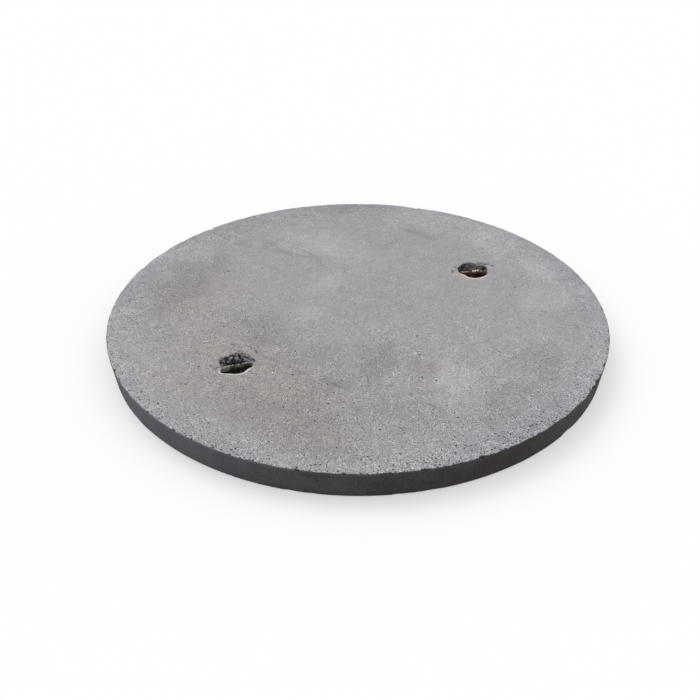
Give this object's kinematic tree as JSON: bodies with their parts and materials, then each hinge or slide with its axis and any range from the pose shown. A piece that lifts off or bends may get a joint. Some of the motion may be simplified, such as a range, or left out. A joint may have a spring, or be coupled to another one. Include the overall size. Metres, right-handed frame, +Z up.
{
  "type": "concrete manhole cover",
  "caption": "Round precast concrete cover slab with a tapered side and round lifting pockets, each bridged by a cast-in steel bar, laid over a manhole or well shaft.",
  "frame": {"origin": "centre of the underside, on the surface that the cover lies on", "axes": "+Z up through the trowelled face; the X axis runs through both lifting pockets, with the near pocket at -X and the far pocket at +X"},
  "size_m": [0.9993, 0.9994, 0.058],
  "materials": {
    "concrete": "matte",
    "bar_steel": "matte"
  },
  "bodies": {
    "root": {"cover_slab": "concrete", "near_lifting_bar": "bar_steel", "far_lifting_bar": "bar_steel"}
  },
  "joints": []
}
